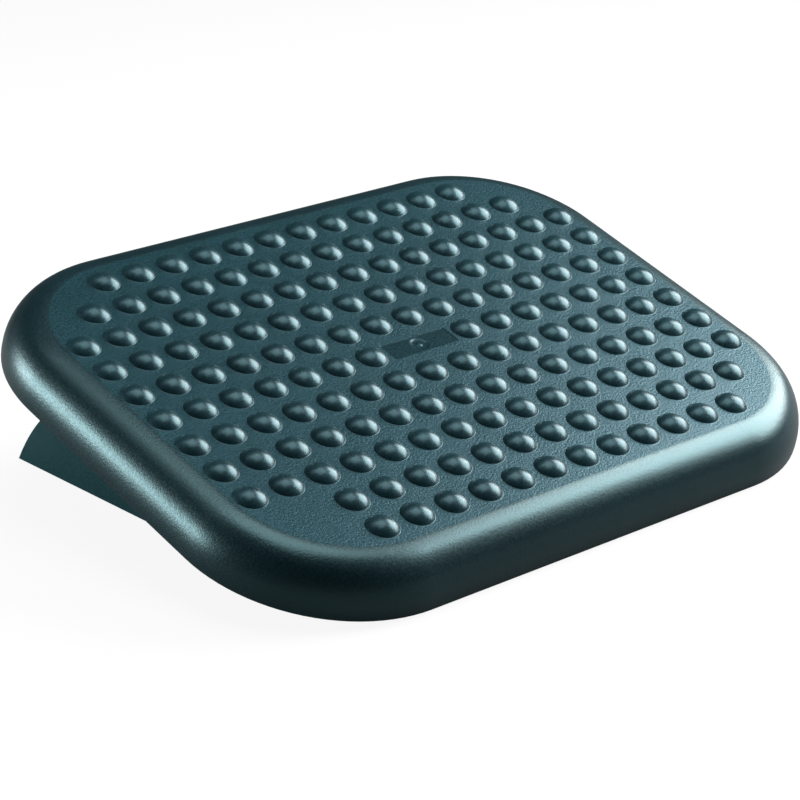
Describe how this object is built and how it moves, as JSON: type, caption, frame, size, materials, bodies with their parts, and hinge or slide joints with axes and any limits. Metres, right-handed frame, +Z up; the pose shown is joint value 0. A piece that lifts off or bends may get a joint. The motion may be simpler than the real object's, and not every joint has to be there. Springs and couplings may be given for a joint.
{
  "type": "massage footrest",
  "caption": "Low rocking massage footrest: a rounded plastic tray covered with round bumps, tipping on a steel axle across a low floor stand.",
  "frame": {"origin": "on the floor, under the middle of the whole footrest's bounding box, with the tray at rest", "axes": "+Z up, +X to the right along the tray's long edges, +Y from the low front edge to the rear"},
  "size_m": [0.446, 0.3304, 0.124],
  "materials": {
    "tray_plastic": "satin moulded plastic with a fine grain, very dark blue-green",
    "stand_plastic": "satin moulded plastic, very dark blue-green",
    "rubber": "matt black rubber",
    "steel": "zinc-plated steel",
    "bush_plastic": "natural acetal"
  },
  "bodies": {
    "stand": {"rear_cross_member": "stand_plastic", "front_cross_member": "stand_plastic", "cross_screws": "steel", "axle": "steel", "cheek_left": "stand_plastic", "foot_front_left": "rubber", "foot_rear_left": "rubber", "level_stop_left": "rubber", "thrust_washer_left": "bush_plastic", "axle_cap_left": "stand_plastic", "cheek_right": "stand_plastic", "foot_front_right": "rubber", "foot_rear_right": "rubber", "level_stop_right": "rubber", "thrust_washer_right": "bush_plastic", "axle_cap_right": "stand_plastic"},
    "tray": {"tray_shell": "tray_plastic", "hinge_screws": "steel", "hinge_block_left": "stand_plastic", "pivot_bush_left": "bush_plastic", "front_pad_left": "rubber", "hinge_block_right": "stand_plastic", "pivot_bush_right": "bush_plastic", "front_pad_right": "rubber"}
  },
  "joints": [
    {"name": "tray_tilt", "type": "hinge", "parent": "stand", "child": "tray", "pos_m": [0, 0.04582, 0.07018], "axis": [1, 0, 0], "range_deg": [-17, 0]}
  ]
}
